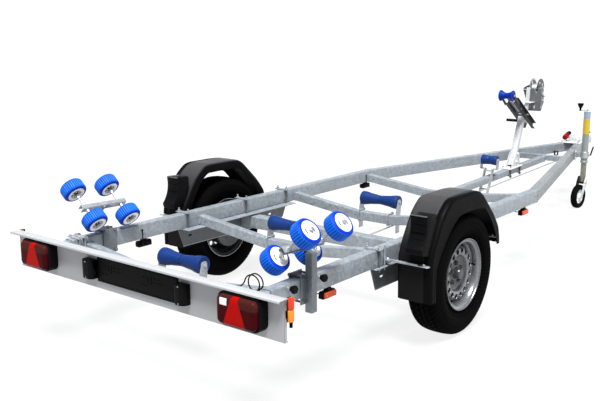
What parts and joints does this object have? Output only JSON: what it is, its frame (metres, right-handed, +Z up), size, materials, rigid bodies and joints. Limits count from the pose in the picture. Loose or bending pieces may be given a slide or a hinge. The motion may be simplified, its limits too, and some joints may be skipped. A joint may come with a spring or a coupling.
{
  "type": "boat trailer",
  "caption": "Single-axle galvanised boat trailer with V crossmembers, keel rollers, pivoting roller cradles, winch post, sliding light board and jockey wheel.",
  "frame": {"origin": "on the ground, at the centre of the trailer's footprint box", "axes": "+Y towards the towing vehicle, +X to its right, +Z up"},
  "size_m": [1.948, 6.187, 1.205],
  "materials": {
    "black_plastic": "moulded, satin",
    "black_rubber": "solid rubber",
    "black_steel": "satin black",
    "board_white": "powder coat",
    "cable_black": "sheath",
    "dark_steel": "cast, lightly oxidised",
    "galvanised_steel": "hot-dip galvanised, fine spangle",
    "grip_red": "moulded grip",
    "keel_blue": "moulded, satin",
    "lamp_red": "clear moulded lens",
    "rim_silver": "silver lacquer",
    "tyre": "moulded rubber",
    "wobble_blue": "moulded, ribbed, satin"
  },
  "bodies": {
    "root": {"rail_left": "galvanised_steel", "rail_right": "galvanised_steel", "drawbar_left": "galvanised_steel", "drawbar_right": "galvanised_steel", "crossmember_rear": "galvanised_steel", "crossmember_axle": "galvanised_steel", "crossmember_middle": "galvanised_steel", "crossmember_front": "galvanised_steel", "crossmember_nose": "galvanised_steel", "centre_spine": "galvanised_steel", "axle_beam": "galvanised_steel", "axle_arms": "galvanised_steel", "axle_brackets": "galvanised_steel", "mudguard_left": "black_plastic", "mudguard_right": "black_plastic", "mudguard_stays": "galvanised_steel", "wheel_chocks": "black_plastic", "side_marker_lamps": "black_plastic", "cradle_posts": "galvanised_steel", "clamp_knobs": "black_plastic", "keel_brackets": "galvanised_steel", "winch_post": "galvanised_steel", "bow_arm": "black_steel", "winch_frame": "galvanised_steel", "coupling": "galvanised_steel", "brake_lever": "grip_red", "brake_rod": "galvanised_steel", "jockey_tube": "galvanised_steel", "jockey_clamp": "galvanised_steel"},
    "light_board": {"light_board": "board_white", "board_tubes": "galvanised_steel", "rear_lamps": "lamp_red", "plate_holder": "black_plastic", "board_cable": "cable_black"},
    "wheel_left": {"tyre_left": "tyre", "rim_left": "rim_silver", "hub_left": "dark_steel"},
    "wheel_right": {"tyre_right": "tyre", "rim_right": "rim_silver", "hub_right": "dark_steel"},
    "rocker_left": {"rocker_left": "galvanised_steel"},
    "wobble_left_rear_inner": {"wobble_left_rear_inner": "wobble_blue"},
    "wobble_left_rear_outer": {"wobble_left_rear_outer": "wobble_blue"},
    "wobble_left_front_inner": {"wobble_left_front_inner": "wobble_blue"},
    "wobble_left_front_outer": {"wobble_left_front_outer": "wobble_blue"},
    "rocker_right": {"rocker_right": "galvanised_steel"},
    "wobble_right_rear_inner": {"wobble_right_rear_inner": "wobble_blue"},
    "wobble_right_rear_outer": {"wobble_right_rear_outer": "wobble_blue"},
    "wobble_right_front_inner": {"wobble_right_front_inner": "wobble_blue"},
    "wobble_right_front_outer": {"wobble_right_front_outer": "wobble_blue"},
    "keel_roller_1": {"keel_roller_1": "keel_blue"},
    "keel_roller_2": {"keel_roller_2": "keel_blue"},
    "keel_roller_3": {"keel_roller_3": "keel_blue"},
    "keel_roller_4": {"keel_roller_4": "keel_blue"},
    "bow_roller": {"bow_roller": "keel_blue"},
    "winch_drum": {"winch_drum": "galvanised_steel"},
    "winch_handle": {"winch_handle": "galvanised_steel"},
    "jockey_inner": {"jockey_inner": "galvanised_steel"},
    "jockey_fork": {"jockey_fork": "black_plastic"},
    "jockey_wheel": {"jockey_wheel": "black_rubber"}
  },
  "joints": [
    {"name": "wheel_left_spin", "type": "hinge", "parent": "root", "child": "wheel_left", "pos_m": [-0.87, -1.5585, 0.333], "axis": [1, 0, 0], "continuous": true},
    {"name": "wheel_right_spin", "type": "hinge", "parent": "root", "child": "wheel_right", "pos_m": [0.87, -1.5585, 0.333], "axis": [1, 0, 0], "continuous": true},
    {"name": "light_board_slide", "type": "slide", "parent": "root", "child": "light_board", "axis": [0, -1, 0], "range_m": [0, 0.45]},
    {"name": "rocker_left_tilt", "type": "hinge", "parent": "root", "child": "rocker_left", "pos_m": [-0.716, -2.6335, 0.69], "axis": [0.766, 0, -0.6428], "range_deg": [-2.6, 7.4]},
    {"name": "wobble_left_rear_inner_spin", "type": "hinge", "parent": "rocker_left", "child": "wobble_left_rear_inner", "pos_m": [-0.62709, -2.7489, 0.62171], "axis": [-0.766, 0, 0.6428], "continuous": true},
    {"name": "wobble_left_rear_outer_spin", "type": "hinge", "parent": "rocker_left", "child": "wobble_left_rear_outer", "pos_m": [-0.79869, -2.7489, 0.7657], "axis": [-0.766, 0, 0.6428], "continuous": true},
    {"name": "wobble_left_front_inner_spin", "type": "hinge", "parent": "rocker_left", "child": "wobble_left_front_inner", "pos_m": [-0.63331, -2.5181, 0.6143], "axis": [-0.766, 0, 0.6428], "continuous": true},
    {"name": "wobble_left_front_outer_spin", "type": "hinge", "parent": "rocker_left", "child": "wobble_left_front_outer", "pos_m": [-0.80491, -2.5181, 0.75829], "axis": [-0.766, 0, 0.6428], "continuous": true},
    {"name": "rocker_right_tilt", "type": "hinge", "parent": "root", "child": "rocker_right", "pos_m": [0.716, -2.6335, 0.69], "axis": [0.766, 0, 0.6428], "range_deg": [-2.6, 7.4]},
    {"name": "wobble_right_rear_inner_spin", "type": "hinge", "parent": "rocker_right", "child": "wobble_right_rear_inner", "pos_m": [0.62709, -2.7489, 0.62171], "axis": [0.766, 0, 0.6428], "continuous": true},
    {"name": "wobble_right_rear_outer_spin", "type": "hinge", "parent": "rocker_right", "child": "wobble_right_rear_outer", "pos_m": [0.79869, -2.7489, 0.7657], "axis": [0.766, 0, 0.6428], "continuous": true},
    {"name": "wobble_right_front_inner_spin", "type": "hinge", "parent": "rocker_right", "child": "wobble_right_front_inner", "pos_m": [0.63331, -2.5181, 0.6143], "axis": [0.766, 0, 0.6428], "continuous": true},
    {"name": "wobble_right_front_outer_spin", "type": "hinge", "parent": "rocker_right", "child": "wobble_right_front_outer", "pos_m": [0.80491, -2.5181, 0.75829], "axis": [0.766, 0, 0.6428], "continuous": true},
    {"name": "keel_roller_1_spin", "type": "hinge", "parent": "root", "child": "keel_roller_1", "pos_m": [0, -2.7065, 0.5], "axis": [1, 0, 0], "continuous": true},
    {"name": "keel_roller_2_spin", "type": "hinge", "parent": "root", "child": "keel_roller_2", "pos_m": [0, -1.8515, 0.514], "axis": [1, 0, 0], "continuous": true},
    {"name": "keel_roller_3_spin", "type": "hinge", "parent": "root", "child": "keel_roller_3", "pos_m": [0, -0.9085, 0.514], "axis": [1, 0, 0], "continuous": true},
    {"name": "keel_roller_4_spin", "type": "hinge", "parent": "root", "child": "keel_roller_4", "pos_m": [0, 0.7355, 0.582], "axis": [1, 0, 0], "continuous": true},
    {"name": "bow_roller_spin", "type": "hinge", "parent": "root", "child": "bow_roller", "pos_m": [0, 1.0015, 1.088], "axis": [1, 0, 0], "continuous": true},
    {"name": "winch_drum_spin", "type": "hinge", "parent": "root", "child": "winch_drum", "pos_m": [0, 1.5985, 1.12], "axis": [1, 0, 0], "continuous": true},
    {"name": "winch_handle_spin", "type": "hinge", "parent": "root", "child": "winch_handle", "pos_m": [0, 1.6085, 1.01046], "axis": [1, 0, 0], "continuous": true},
    {"name": "jockey_lift", "type": "slide", "parent": "root", "child": "jockey_inner", "axis": [0, 0, 1], "range_m": [-0.12, 0.12]},
    {"name": "jockey_swivel", "type": "hinge", "parent": "jockey_inner", "child": "jockey_fork", "pos_m": [0.3, 2.1055, 0.252], "axis": [0, 0, 1], "continuous": true},
    {"name": "jockey_wheel_spin", "type": "hinge", "parent": "jockey_fork", "child": "jockey_wheel", "pos_m": [0.29247, 2.03389, 0.11], "axis": [0.9945, -0.1045, 0], "continuous": true}
  ],
  "couplings": [
    {"joint": "winch_handle_spin", "follows": "winch_drum_spin", "ratio": -3.3333}
  ]
}
